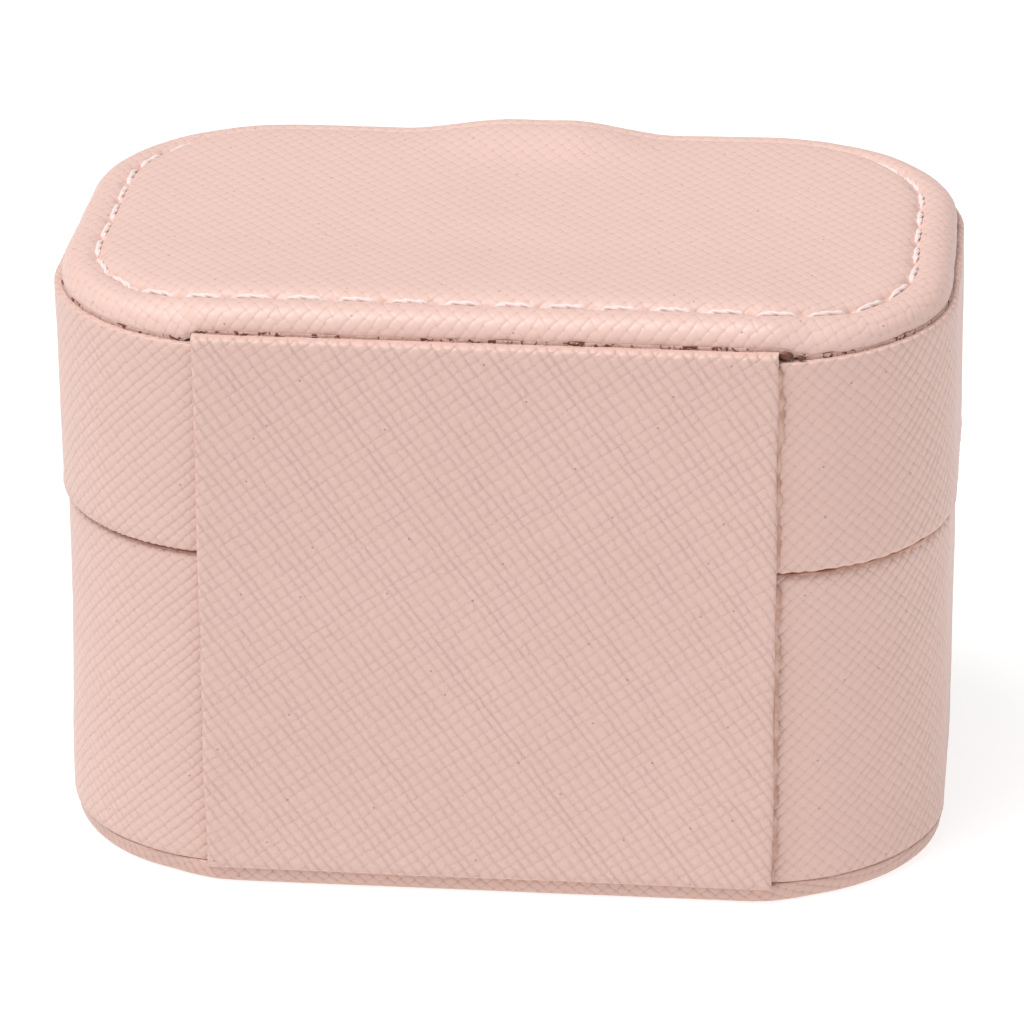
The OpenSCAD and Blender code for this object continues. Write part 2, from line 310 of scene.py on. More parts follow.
def glue():
    """Brown glue and board edge that show in the seam, on a ground darkened in patches as
    painted seam shade.
    """
    n = Nodes("seam_glue_and_shade")
    place = n.place()
    patch = n.noise(place, 1250, 2.0, 0.6)
    spot = n.ramp(patch, 0.54, 0.62)
    # The ground is darkened in patches as painted shade of the seam; the dark brown spots
    # are glue.
    colour = n.mix(n.noise(place, 2200, 2.0), rgb(168, 130, 116), rgb(222, 192, 182))
    colour = n.mix(spot, colour, rgb(104, 52, 30))
    return n.set(Base_Color=colour, Roughness=0.6, Normal=n.bump(patch, 0.1))


def patchy(name, scale, detail, rough, span, low, high, depth, **values):
    """Two colours in patches. The patches raise the surface by depth."""
    n = Nodes(name)
    patch = n.noise(n.place(), scale, detail, rough)
    share = n.ramp(patch, *span) if span else patch
    if depth:
        values["Normal"] = n.bump(patch, depth)
    return n.set(Base_Color=n.mix(share, rgb(*low), rgb(*high)), **values)


# Name, angle, stretch, pitches, bunching, sway, depth, shade, tone
LEATHER_WALL, LEATHER_TOP, LEATHER_STRIP, LEATHER_TAB, LEATHER_RIM = (
    leather(*row) for row in (
        ("leather_wall", 45, (1, 1.1), (1.06, 1.10), 0.5, 0.14, 0.10, 0.3, 0.94),
        ("leather_top", 45, (1.25, 1), (1.34, 1.40), 0.45, 0.12, 0.06, 0.35, 1.0),
        ("leather_strip", -35, (1, 1), (1.04, 1.13), 0.6, 0.16, 0.14, 0.15, 0.945),
        ("leather_tab", 45, (1, 1), (1.04, 1.10), 0.6, 0.16, 0.12, 0.3, 0.945),
        # The rim's low tone is painted shade for its shaded front.
        ("leather_rim", 45, (1, 1.1), (1.0, 1.04), 0.4, 0.1, 0.1, 0.5, 0.84),
    )
)
VELVET = velvet("velvet_lining", rgb(206, 176, 164), rgb(226, 200, 190))
VELVET_ROLL = velvet("velvet_roll", rgb(212, 184, 172), rgb(232, 208, 198))
BOARD = board()
FOAM = foam()
THREAD = thread()
GOLD = metal("pale_gold", rgb(222, 194, 150), rgb(236, 212, 172), 0.16, 0.26)
STEEL = metal("steel_plate", rgb(160, 162, 166), rgb(182, 184, 188), 0.3, 0.42,
              (1, 1, 12))
MIRROR = mirror_glass()
GLUE_AND_SEAM_SHADE = glue()
# Brown glue that has been squeezed out and has picked up dust
STAIN = patchy("brown_glue", 900, 4.0, 0.6, (0.35, 0.6), (58, 26, 14),
               (112, 62, 42), 0.1, Roughness=0.55)
# Thin line of glue, almost the leather's colour, which is also painted shade: beside the
# hinge strip, under the lid's edge and in the needle holes
GLUE_LINE_AND_SHADE = patchy("glue_line_and_shade", 420, 4.0, 0.65, (0.4, 0.62), (214, 176, 160),
                   (188, 142, 122), 0.12, Roughness=0.5)
# Pale cloth fibres that stand out of a cut edge
FIBRE = patchy("loose_fibre", 300, 1.0, 0.5, None, (214, 196, 190),
               (246, 240, 238), 0, Roughness=0.7)


# ---- mesh help
def make_object(name, points, faces, corner_uv, material):
    """Mesh object from points in millimetres, faces and a uv per face corner."""
    mesh = bpy.data.meshes.new(name)
    mesh.from_pydata((np.asarray(points) * MM).tolist(), [], faces)
    layer = mesh.uv_layers.new(name="grain")
    layer.data.foreach_set("uv", np.asarray(corner_uv, np.float32).reshape(-1))
    mesh.polygons.foreach_set("use_smooth", [True] * len(mesh.polygons))
    mesh.materials.append(material)
    piece = bpy.data.objects.new(name, mesh)
    scene.collection.objects.link(piece)
    return piece


def grid_faces(rows, columns, close_rows, close_columns):
    """Faces of a grid, and the grid places of their corners, unwrapped."""
    faces, places = [], []
    for i in range(rows if close_rows else rows - 1):
        for j in range(columns if close_columns else columns - 1):
            corners = ((i, j), (i, j + 1), (i + 1, j + 1), (i + 1, j))
            faces.append([(a % rows) * columns + b % columns for a, b in corners])
            places.extend(corners)
    return faces, places


def grid_object(name, points, around, along, material, close_rows=True):
    """Object from a grid of points whose columns close. around and along place
    its columns and rows on the map, with one place more where they close."""
    rows, columns = points.shape[:2]
    faces, places = grid_faces(rows, columns, close_rows, True)
    uv = [(around[b], along[a]) for a, b in places]
    return make_object(name, points.reshape(-1, 3), faces, uv, material)


def angles(sides):
    return [math.tau * k / sides for k in range(sides)]


class Tubes:
    """Gathers closed tubes, each of them rings of points, into one object."""

    def __init__(self):
        self.points, self.faces, self.uv = [], [], []

    def add(self, rings, cell=(0, 0), turned=False):
        """cell is a face's size on the map, and turned swaps in and out."""
        base, sides = len(self.points), len(rings[0])
        for ring in rings:
            self.points.extend(ring)
        faces, places = grid_faces(len(rings), sides, False, True)
        first, last = list(range(sides)), list(range(len(rings) * sides))[-sides:]
        if turned:
            faces = [face[:1] + face[:0:-1] for face in faces] + [first, last[::-1]]
        else:
            faces += [first[::-1], last]
        self.faces += [[base + k for k in face] for face in faces]
        self.uv += [(row * cell[0], column * cell[1]) for row, column in places]
        self.uv += [(0, 0)] * (2 * sides)

    def make(self, name, material):
        return make_object(name, self.points, self.faces, self.uv, material)


def merge(piece, distance=0.0005):
    """Joins points that lie on each other, and drops what has no area."""
    work = bmesh.new()
    work.from_mesh(piece.data)
    bmesh.ops.remove_doubles(work, verts=work.verts, dist=distance * MM)
    bmesh.ops.dissolve_degenerate(work, edges=work.edges, dist=distance * MM)
    work.to_mesh(piece.data)
    work.free()


def ripple(x, y, z, scale):
    """Smooth noise from about -0.5 to 0.5."""
    return noise.noise(Vector((x * scale, y * scale, z * scale))) * 0.6


class Loop:
    """Places round a rounded rectangle: core points, directions and lengths."""

    def __init__(self, core, radius, count):
        """Evenly spaced places on the line at radius from the corner centres,
        anticlockwise from the middle of the back."""
        quarter = math.pi * radius / 2
        sides = [
            (core[0], (0, core[1]), (-1, 0), 90, 90),
            (quarter, (-core[0], core[1]), (0, 0), 90, 180),
            (2 * core[1], (-core[0], core[1]), (0, -1), 180, 180),
            (quarter, (-core[0], -core[1]), (0, 0), 180, 270),
            (2 * core[0], (-core[0], -core[1]), (1, 0), 270, 270),
            (quarter, (core[0], -core[1]), (0, 0), 270, 360),
            (2 * core[1], (core[0], -core[1]), (0, 1), 0, 0),
            (quarter, (core[0], core[1]), (0, 0), 0, 90),
            (core[0], (core[0], core[1]), (-1, 0), 90, 90),
        ]
        self.length = sum(side[0] for side in sides)
        self.distance = np.arange(count) * self.length / count
        self.core, self.out = np.zeros((count, 2)), np.zeros((count, 2))
        for k, along in enumerate(self.distance):
            for length, start, step, from_angle, to_angle in sides:
                if along <= length:
                    break
                along -= length
            turn = math.radians(from_angle + (to_angle - from_angle) * along / length)
            self.core[k] = (start[0] + step[0] * along, start[1] + step[1] * along)
            self.out[k] = (math.cos(turn), math.sin(turn))

    def ring(self, radius, share=0.0, spine=0.0):
        """Points at a radius, moved by a share towards a line along X."""
        points = self.core + self.out * radius
        if share:
            middle = np.zeros_like(points)
            middle[:, 0] = np.clip(points[:, 0], -spine, spine)
            points = points * (1 - share) + middle * share
        return points


def rounded(corners, step):
    """Closed outline from corners (x, y, radius), with points step apart."""
    points = []
    count = len(corners)
    for k, (x, y, radius) in enumerate(corners):
        here = np.array((x, y), float)
        before = np.array(corners[k - 1][:2], float) - here
        after = np.array(corners[(k + 1) % count][:2], float) - here
        before, after = before / np.linalg.norm(before), after / np.linalg.norm(after)
        half = math.acos(np.clip(before @ after, -1, 1)) / 2
        reach = radius / math.tan(half)
        start, end = here + before * reach, here + after * reach
        middle = before + after
        centre = here + middle / np.linalg.norm(middle) * radius / math.sin(half)
        pieces = max(2, int(math.ceil(radius * (math.pi - 2 * half) / step)))
        for i in range(pieces + 1):
            t = i / pieces
            spoke = start * (1 - t) + end * t - centre
            points.append(centre + spoke / np.linalg.norm(spoke) * radius)
    full = []
    for a, b in zip(points, points[1:] + points[:1]):
        parts = max(1, int(round(np.linalg.norm(b - a) / step)))
        full += [a + (b - a) * i / parts for i in range(parts)]
    return np.array(full)


def four_corners(low, high, lower_r, upper_r):
    """Corners of a rectangle, with a radius for its lower and upper pair."""
    return [(low[0], low[1], lower_r), (high[0], low[1], lower_r),
            (high[0], high[1], upper_r), (low[0], high[1], upper_r)]


def lengths(points):
    """Running length along a closed outline, with its whole length last."""
    steps = np.linalg.norm(np.diff(np.vstack((points, points[:1])), axis=0), axis=1)
    return np.concatenate(((0,), np.cumsum(steps)))


def ring_solid(name, loop, radius, profile, material, shift=None):
    """Solid of a closed profile (out, z) carried round a loop. shift(x, y, z,
    out) returns how far a point moves outwards and up."""
    rows, columns = len(profile), len(loop.distance)
    grid = np.zeros((rows, columns, 3))
    for i, (out, z) in enumerate(profile):
        grid[i, :, :2] = loop.ring(radius + out)
        grid[i, :, 2] = z
        if shift:
            for j in range(columns):
                move, lift = shift(*grid[i, j], out)
                grid[i, j, :2] += loop.out[j] * move
                grid[i, j, 2] += lift
    around = np.append(loop.distance, loop.length)
    return grid_object(name, grid, around, lengths(profile), material)


# ---- leather
def wall_loop(radius, count=520):
    return Loop(CORE, radius, count)


def base_lean(x, z):
    """How far the base's left wall, seen from behind, stands out or in."""
    lean = 0.2 * (1 - smooth(z, 2, 14)) - 0.42 * smooth(z, 8, 30)
    return smooth(x, 20, 44) * lean


def base_leather():
    """Leather round the base, turned in over the top edge."""
    low, high = BASE_LOW[2], BASE_HIGH[2]
    inner = -(CORNER_R - (box_mm("inner_collar")[1][0] - CORE[0]))
    profile = rounded([
        (-LEATHER, low, 0.05), (0, low, 0.08), (0, high, 0.75), (inner, high, 0.1),
        (inner, high - LEATHER, 0.05), (-LEATHER, high - LEATHER, 0.05),
    ], 0.9)

    def shift(x, y, z, out):
        share = max(0.0, 1 + out / LEATHER)
        wave = ripple(x, y, z, 0.11) * 0.16 + ripple(x, y, z, 0.7) * 0.05
        return (wave + base_lean(x, z)) * share, 0.0

    piece = ring_solid("base_leather", wall_loop(CORNER_R), CORNER_R, profile,
                       LEATHER_WALL, shift)
    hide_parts("base_wrap")
    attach(piece, "base")


def lid_leather():
    """Leather round the lid, turned in at its lower edge, which stands out a
    little over the base."""
    low, high = LID_LOW[2], LID_HIGH[2] + 0.08
    inner = -(LEATHER + 1.8)
    flap = box_mm("lid_lining")[0][2] - 0.05
    profile = rounded([
        (inner - 0.35, low, 0.3), (0.05, low, 0.4), (0, high, 0.18),
        (-2.4, high, 0.05), (-2.4, high - 0.3, 0.05), (-LEATHER, high - 0.3, 0.05),
        (-LEATHER, low + LEATHER, 0.05), (inner, low + LEATHER, 0.05),
        (inner, flap, 0.05), (inner - 0.35, flap, 0.1),
    ], 0.9)

    def shift(x, y, z, out):
        share = max(0.0, 1 + out / LEATHER)
        wave = ripple(x + 9, y, z, 0.11) * 0.16 + ripple(x, y, z, 0.7) * 0.05
        left = smooth(x, -20, 20)
        flare = 0.14 + (0.16 - 0.38 * left) * (high - z) / (high - low)
        edge = max(0.0, 1 - (z - low) / 0.9)
        turn = math.atan2(y - math.copysign(min(abs(y), CORE[1]), y),
                          x - math.copysign(min(abs(x), CORE[0]), x))
        along = (x if abs(x) < CORE[0] else y) + CORNER_R * turn
        cell = abs(math.sin(math.pi * (along + ripple(x, y, 3.0, 0.4) * 1.5) / 1.15))
        scallop = (0.13 * cell + ripple(x, y, 3.0, 1.3) * 0.08) * edge
        return (wave + flare + scallop) * share, -scallop * 0.8 * share

    piece = ring_solid("lid_leather", wall_loop(CORNER_R, 1040), CORNER_R, profile,
                       LEATHER_WALL, shift)
    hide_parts("lid_wrap")
    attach(piece, "lid")


def filled_solid(name, loop, outer_rows, inner_rows, spine, material, shift=None):
    """Skin with an outer and an inner side, each running to a line in the
    middle. A row is (radius, share, z), and the sides meet at their rims."""
    grids = []
    for rows in (outer_rows, inner_rows):
        grid = np.zeros((len(rows), len(loop.distance), 3))
        for i, (radius, share, z) in enumerate(rows):
            grid[i, :, :2] = loop.ring(radius, share, spine)
            grid[i, :, 2] = z
        grids.append(grid)
    if shift:
        grids[0] = shift(grids[0], outer_rows)
    grid = np.concatenate((grids[1][::-1], grids[0]))
    rows, columns = grid.shape[:2]
    faces, places = grid_faces(rows, columns, False, True)
    flat = grid_uv(grid, loop, len(inner_rows), outer_rows)
    uv = [flat[i, j % columns] for i, j in places]
    piece = make_object(name, grid.reshape(-1, 3), faces, uv, material)
    merge(piece)
    return piece


def grid_uv(grid, loop, inner_count, outer_rows):
    """Map of a skin's grid. Where the skin is flat the map is the place seen
    from above, and past its edge it follows the distance over the leather."""
    flat = grid[:, :, :2].copy()
    radii = [row[0] for row in outer_rows if row[1] == 0]
    level = max(i for i, radius in enumerate(radii) if radius > radii[-1] + 1.0)
    reach = np.linalg.norm(grid[inner_count + level, :, :2] - loop.core, axis=1)
    for i in range(inner_count + level, -1, -1):
        if i < inner_count + level:
            reach = reach + np.linalg.norm(grid[i + 1] - grid[i], axis=1)
        flat[i] = loop.core + loop.out * reach[:, None]
    return flat


def panel_lift(x, y, inset=0.0):
    """How far the ends of the closure tab and the hinge strip, which lie under
    the top panel, lift it, at an inset from the panel's edge."""
    tab = (1 - smooth(abs(x), 3.0, 14.5)) * (1 - smooth(y, -23, -14))
    fall = np.where(np.asarray(x) > 0, 2.5, 4.5)
    at_edge = 1 - smooth(abs(x), 27.5, 27.5 + fall)
    inside = 1 - smooth(abs(x), 25, 37)
    share = smooth(inset, 0.3, 3.0)
    strip = at_edge * (1 - share) + inside * share
    return 1.3 * tab + 0.95 * strip * smooth(y, 6, 24)


def smooth(value, low, high):
    t = np.clip((value - low) / (high - low), 0, 1)
    return t * t * (3 - 2 * t)


def top_profile():
    """Rows of the padded top, from its lower edge to the middle."""
    radius = CORNER_R - PANEL_INSET
    seam = COVER_LOW[2]
    line = STITCH_INSET
    edge = [
        (0.95, 0.14), (0.5, 0.11), (0.2, 0.14), (0.02, 0.32), (-0.06, 0.7),
        (0.0, 1.2), (0.12, 1.58), (0.34, 1.96), (0.64, 2.28), (1.02, 2.54),
        (1.45, 2.72), (1.95, 2.83), (2.45, 2.86), (2.9, 2.82), (3.2, 2.74),
        (line - 0.25, 2.62), (line - 0.1, 2.56), (line, STITCH_RISE),
        (line + 0.1, 2.57), (line + 0.25, 2.68), (line + 0.5, 2.86),
        (line + 0.8, 3.0), (line + 1.2, 3.12), (line + 1.8, 3.22),
        (line + 2.6, 3.28), (line + 3.6, 3.32), (line + 5.0, 3.36),
    ]
    rows = [(radius - inset, 0.0, seam + rise) for inset, rise in edge]
    last_radius, _, last_z = rows[-1]
    for share in [tenth / 10 for tenth in range(1, 11)]:
        crown = 0.25 * (1 - (1 - share) ** 2)
        rows.append((last_radius, share, last_z + crown))
    return rows


def stitch_line(first):
    """Place and outward direction of every second point on the stitch line."""
    loop = Loop(CORE, STITCH_R, TOP_STITCHES * 2)
    return list(zip(loop.ring(STITCH_R), loop.out))[first::2]


def stitch_lift(x, y):
    """How far the stitch line stands over its height without wear."""
    lift = panel_lift(x, y, STITCH_INSET) + ripple(x, y, 0, 0.09) * 0.22
    return lift - 0.2 * (1 - smooth(y, -25, -8))


def top_leather():
    """Padded leather top with its rolled edge, pulled down at the stitches."""
    per_stitch = 16
    loop = Loop(CORE, STITCH_R, TOP_STITCHES * per_stitch)
    rows = top_profile()
    pitch = loop.length / TOP_STITCHES
    phase = (loop.distance / pitch) % 1.0
    from_hole = np.minimum(phase, 1 - phase) * pitch

    def shift(grid, rows):
        for i, (radius, share, z) in enumerate(rows):
            x, y, height = grid[i].T
            inset = CORNER_R - PANEL_INSET - radius + share * 12
            from_line = abs(inset - STITCH_INSET)
            rise = 1 - 0.25 * (z < COVER_LOW[2] + 0.4) * (y < 0)
            height += panel_lift(x, y, inset) * rise
            front = 1 - smooth(y, -25, -8)
            height += 0.42 * smooth(inset, STITCH_INSET + 0.1, STITCH_INSET + 1.5) * front
            height -= 0.2 * np.exp(-(from_line / 0.6) ** 2) * front
            hole = np.exp(-(from_hole / 0.42) ** 2 - (from_line / 0.38) ** 2)
            pull = np.exp(-(from_hole / 1.3) ** 2 - (from_line / 0.9) ** 2)
            height -= 0.34 * hole + 0.10 * pull
            fade = min(1.0, max(0.0, (z - COVER_LOW[2]) / 2.0))
            for j in range(grid.shape[1]):
                soft = ripple(x[j], y[j], 0, 0.09) * 0.22
                soft += ripple(x[j], y[j], 5, 0.35) * 0.08
                height[j] += soft * fade
                if inset < 1.0:
                    lift = max(0.0, ripple(x[j], y[j], 11, 0.33) - 0.12)
                    height[j] += lift * 1.4 * (1 - fade)
                    push = ripple(x[j], y[j], 2, 0.2) * 0.18
                    grid[i, j, :2] += loop.out[j] * push
        return grid

    foam_high = box_mm("top_foam")[1]
    board_low, board_high = box_mm("top_board")
    board_r, foam_r = board_high[0] - CORE[0], foam_high[0] - CORE[0]
    inner = [(board_r, 0, board_low[2]), (board_r, 0, board_high[2]),
             (foam_r, 0, board_high[2])]
    inner += [(foam_r, share, foam_high[2]) for share in (0, 0.5, 1)]
    piece = filled_solid("top_leather", loop, rows, inner, CORE[0] - 4, LEATHER_TOP,
                         shift)
    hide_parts("top_cover")
    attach(piece, "lid")


def strip_leather():
    """Hinge strip: one folded leather band over the back of base and lid."""
    half, y_in, y_out = STRIP_HIGH[0], STRIP_LOW[1] + 0.02, STRIP_HIGH[1]
    section = rounded(four_corners((-half, y_in), (half, y_out), 0.12, 0.38), 0.8)
    low, top = STRIP_LOW[2] - 0.45, LID_HIGH[2] + 1.1
    rows = [(low, -0.9), (low + 0.02, -0.4), (low + 0.12, -0.15), (low + 0.3, 0.0)]
    rows += [(z, 0.0) for z in np.linspace(low + 1, top - 1.2, 64)]
    rows += [(top - 0.5, 0.0), (top - 0.25, -0.06), (top - 0.08, -0.25), (top, -0.7)]
    grid = np.zeros((len(rows), len(section), 3))
    for i, (z, back) in enumerate(rows):
        for j, (x, y) in enumerate(section):
            share = (y - y_in) / (y_out - y_in)
            wave = ripple(x, 3, z, 0.06) * 0.22 + ripple(x, 3, z, 0.25) * 0.07
            side = ripple(math.copysign(9, x), 1, z, 0.12) * 0.25 * abs(x / half) ** 8
            side += ripple(math.copysign(4, x), 1, z, 0.8) * 0.06 * abs(x / half) ** 8
            grid[i, j] = (x + side, y + wave * share + back, z)
    piece = grid_object("hinge_strip_leather", grid, lengths(section),
                        [z for z, _ in rows], LEATHER_STRIP, close_rows=False)
    cap_ends(piece, len(section), len(rows))
    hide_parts("hinge_strip_base", "hinge_strip_lid")
    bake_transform(piece)


def cap_ends(piece, columns, rows):
    """Closes the first and last row of an open grid with one face each."""
    work = bmesh.new()
    work.from_mesh(piece.data)
    work.verts.ensure_lookup_table()
    work.faces.new(work.verts[:columns][::-1])
    work.faces.new(work.verts[(rows - 1) * columns:])
    work.to_mesh(piece.data)
    work.free()


def bottom_leather():
    """Leather over the bottom panel, with a soft rim."""
    radius = RIM_HIGH[0] - CORE[0]
    top = RIM_HIGH[2] - 0.04
    outer = [(1.2, top), (0.6, top), (0.12, top - 0.05), (0.0, top - 0.22),
             (0.0, top - 0.9), (0.04, 0.75), (0.18, 0.38), (0.42, 0.12), (0.8, 0.0),
             (1.6, 0.0), (4.0, 0.0)]
    rows = [(radius - inset, 0.0, z) for inset, z in outer]
    rows += [(radius - 4, share, 0.0) for share in (0.2, 0.4, 0.6, 0.8, 1.0)]
    board_low, board_high = box_mm("bottom_board")
    edge = board_high[0] - CORE[0]
    inner = [(edge, 0, top - 0.02)]
    inner += [(edge, share, board_low[2]) for share in (0, 0.5, 1)]
    loop = wall_loop(radius, 400)

    def shift(grid, rows):
        for i, (radius_i, share, z) in enumerate(rows):
            if share or z <= 0.0:
                continue
            for j in range(grid.shape[1]):
                x, y, _ = grid[i, j]
                push = ripple(x, y, 21, 0.15) * 0.14 + ripple(x, y, 3, 0.9) * 0.05
                over = (1 - smooth(abs(x), 27, 33)) * smooth(y, 20, 26)
                push += (0.38 + 0.55 * over) * (1 - smooth(radius - radius_i, 0.9, 4))
                push += 0.2 * smooth(z, 1.3, 2.0) * (1 - over)
                grid[i, j, :2] += loop.out[j] * push
        return grid

    piece = filled_solid("bottom_leather", loop, rows, inner, CORE[0] - 4,
                         LEATHER_RIM, shift)
    piece.data.flip_normals()
    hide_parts("bottom_cover")
    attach(piece, "base")


# ---- stitches
def stitch_piece(name, places, length, body, replaced, sink=0.34, rise=0.16):
    """Twisted two-ply stitches. A place is a middle, a heading and an up."""
    strand_r, twist_r, twists, rings, sides = 0.205, 0.12, 1.35, 14, 6
    tubes = Tubes()
    for middle, heading, up in places:
        side = np.cross(up, heading)
        phase = random.uniform(0, math.tau)
        lean = random.uniform(-0.06, 0.06)
        size = length * random.uniform(0.94, 1.04)
        for strand in (0, math.pi):
            rows = []
            for t in [i / (rings - 1) for i in range(rings)]:
                arch = 1 - abs(2 * t - 1) ** 5
                turn = phase + strand + t * math.tau * twists
                thin = 0.75 + 0.25 * arch
                centre = (
                    middle + heading * (t - 0.5) * size
                    + side * ((t - 0.5) * size * lean + math.cos(turn) * twist_r * thin)
                    + up * (arch * (sink + rise) - sink + math.sin(turn) * twist_r * 0.7)
                )
                rows.append([
                    centre + (side * math.cos(a) + up * math.sin(a)) * strand_r * thin
                    for a in angles(sides)
                ])
            tubes.add(rows, (0.25, 0.16))
    piece = tubes.make(name, THREAD)
    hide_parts(replaced)
    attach(piece, body)


def top_stitches():
    """One row of stitches round the top."""
    line_z = COVER_LOW[2] + STITCH_RISE + 0.08
    places = []
    for (x, y), out in stitch_line(1):
        middle, heading = np.array((x, y)), np.array((-out[1], out[0]))
        ahead = panel_lift(*(middle + heading), STITCH_INSET)
        ahead -= panel_lift(*(middle - heading), STITCH_INSET)
        forward = np.array((heading[0], heading[1], ahead / 2))
        forward /= np.linalg.norm(forward)
        up = np.cross(forward, np.array((out[0], out[1], 0)))
        up = up if up[2] > 0 else -up
        places.append((np.array((x, y, line_z + stitch_lift(x, y))), forward, up))
    stitch_piece("top_thread", places, 4.0, "lid", "top_stitching", rise=0.1)


# ---- seam
def seam_details():
    """Glue that shows in the seam under the top panel, on a ground of painted seam shade.
    """
    loop = wall_loop(CORNER_R, 520)
    z = LID_HIGH[2]
    profile = rounded([(-1.1, z + 0.02, 0.05), (-0.52, z + 0.02, 0.08),
                       (-0.52, z + 0.5, 0.1), (-1.1, z + 0.5, 0.05)], 0.3)

    def shift(x, y, _, out):
        return ripple(x, y, 8, 0.5) * 0.24, float(panel_lift(x, y))

    piece = ring_solid("seam_glue_and_shade", loop, CORNER_R, profile, GLUE_AND_SEAM_SHADE, shift)
    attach(piece, "lid")


def loose_fibres():
    """Short pale fibres along the seam, denser over the hinge strip."""
    tries, spots, sides = 900, 2000, 3
    loop = wall_loop(CORNER_R, spots)
    up = np.array((0, 0, 1))
    tubes = Tubes()
    for _ in range(tries):
        j = random.randrange(spots)
        edge = loop.core[j] + loop.out[j] * (CORNER_R - 0.35)
        behind = edge[1] > CORE[1] + CORNER_R - 1
        if not behind and random.random() < 0.35:
            continue
        height = LID_HIGH[2] + panel_lift(*edge) + random.uniform(0.1, 0.35)
        start = np.array((edge[0], edge[1], height))
        out = np.array((loop.out[j][0], loop.out[j][1], 0))
        along = np.array((-out[1], out[0], 0))
        reach = random.uniform(0.25, 0.75)
        lean = random.uniform(-0.9, 0.9)
        drop = random.uniform(-0.9, 0.5)
        step = out * random.uniform(0.2, 0.7) + along * lean + up * drop
        step = step / np.linalg.norm(step) * reach
        bend = along * random.uniform(-0.2, 0.2)
        radius = random.uniform(0.018, 0.032)
        rings = []
        for t in (0, 1 / 3, 2 / 3, 1):
            centre = start + step * t + bend * t * (1 - t) * 2
            thin = radius * (1 - 0.6 * t)
            rings.append([centre + (along * math.cos(a) + up * math.sin(a)) * thin
                          for a in angles(sides)])
        tubes.add(rings)
    piece = tubes.make("seam_fibres", FIBRE)
    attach(piece, "lid")


# ---- glue marks
def glue_spots():
    """Brown glue in the seam beside the hinge strip."""
    tubes = Tubes()
    corner_x, corner_y, seam_z = -STRIP_HIGH[0], BASE_HIGH[1], LID_HIGH[2]
    for x, y, z, size in (
        (corner_x - 0.6, corner_y - 0.9, seam_z + 0.65, 0.75),
        (corner_x - 2.1, corner_y - 1.05, seam_z + 0.42, 0.4),
    ):
        rings = []
        for i in range(7):
            down, ring = math.pi * (i + 0.5) / 7, []
            for a in angles(10):
                reach = size * (1 + ripple(x + a, i, 3, 1.1) * 0.5)
                ring.append((x + math.sin(down) * math.cos(a) * reach,
                             y + math.sin(down) * math.sin(a) * reach * 0.5,
                             z + math.cos(down) * reach * 0.55))
            rings.append(ring)
        tubes.add(rings, turned=True)
    piece = tubes.make("seam_stain", STAIN)
    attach(piece, "lid")


def strip_glue_and_shadow():
    """Lines of glue along the strip's right edge, seen from behind, darkened as the
    painted shadow that the strip's edge casts on the wall.
    """
    x, y = -STRIP_HIGH[0], BASE_HIGH[1]
    section = np.array([(0.1, -0.1), (0.1, 0.36), (-0.12, 0.24), (-0.28, 0.1),
                        (-0.5, 0.0), (-0.5, -0.1)])
    for name, body, low, high in (
        ("strip_glue_shadow_lid", "lid", LID_LOW[2] + 0.6, LID_HIGH[2] - 0.2),
        ("strip_glue_shadow_base", "base", BASE_LOW[2] + 0.4, BASE_HIGH[2] - 0.8),
    ):
        heights = np.linspace(low, high, int((high - low) / 0.35))
        grid = np.zeros((len(heights), len(section), 3))
        for i, z in enumerate(heights):
            wide = 0.75 + ripple(x, 5, z, 0.45) * 1.3 + ripple(x, 5, z, 1.3) * 1.1
            wide = max(0.1, wide)
            grid[i, :, 0] = x + section[:, 0] * wide
            grid[i, :, 1] = y + section[:, 1] * (0.8 + 0.3 * wide)
            grid[i, :, 2] = z
        piece = grid_object(name, grid, lengths(section), heights, GLUE_LINE_AND_SHADE,
                            close_rows=False)
        cap_ends(piece, len(section), len(heights))
        piece.data.flip_normals()
        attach(piece, body)


def needle_hole_shade():
    """Small brown marks where the thread goes through the top: painted shade of the
    needle holes.
    """
    tubes = Tubes()
    for (x, y), out in stitch_line(0):
        z = COVER_LOW[2] + STITCH_RISE - 0.2 + stitch_lift(x, y)
        long, wide = random.uniform(0.22, 0.36), random.uniform(0.15, 0.22)
        rings = []
        for level, size in ((-0.25, 1.0), (0.0, 0.85), (0.06, 0.45)):
            ring = []
            for a in angles(8):
                along, across = math.cos(a) * long * size, math.sin(a) * wide * size
                ring.append((x - out[1] * along + out[0] * across,
                             y + out[0] * along + out[1] * across, z + level))
            rings.append(ring)
        tubes.add(rings)
    piece = tubes.make("needle_hole_shade", GLUE_LINE_AND_SHADE)
    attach(piece, "lid")


def parting_stain_and_shadow():
    """Brown glue and card edge just inside the base's top edge, also painted shadow under
    the lid's lower edge.
    """
    z = BASE_HIGH[2]
    profile = rounded([(-0.85, z - 0.75, 0.05), (-0.3, z - 0.75, 0.15),
                       (-0.3, z + 0.03, 0.15), (-0.85, z + 0.03, 0.1)], 0.3)

    def shift(x, y, _, out):
        patch = ripple(x, y, 14, 0.35) * 0.5 + ripple(x, y, 9, 1.1) * 0.3
        return patch + base_lean(x, z), 0.0

    piece = ring_solid("parting_stain_and_shadow", wall_loop(CORNER_R, 700), CORNER_R, profile,
                       GLUE_LINE_AND_SHADE, shift)
    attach(piece, "base")


# ---- closure tab
TAB_R = TAB_HIGH[0]
TAB_CENTRE_Z = TAB_LOW[2] + TAB_R
TAB_MID_Y = TAB_HIGH[1]
BEND_R = 1.3
ANCHOR_Z = (ANCHOR_LOW[2] + ANCHOR_HIGH[2]) / 2
TAB_FLAT = ANCHOR_HIGH[1] - TAB_MID_Y - BEND_R
TAB_ARC = math.pi / 2 * BEND_R


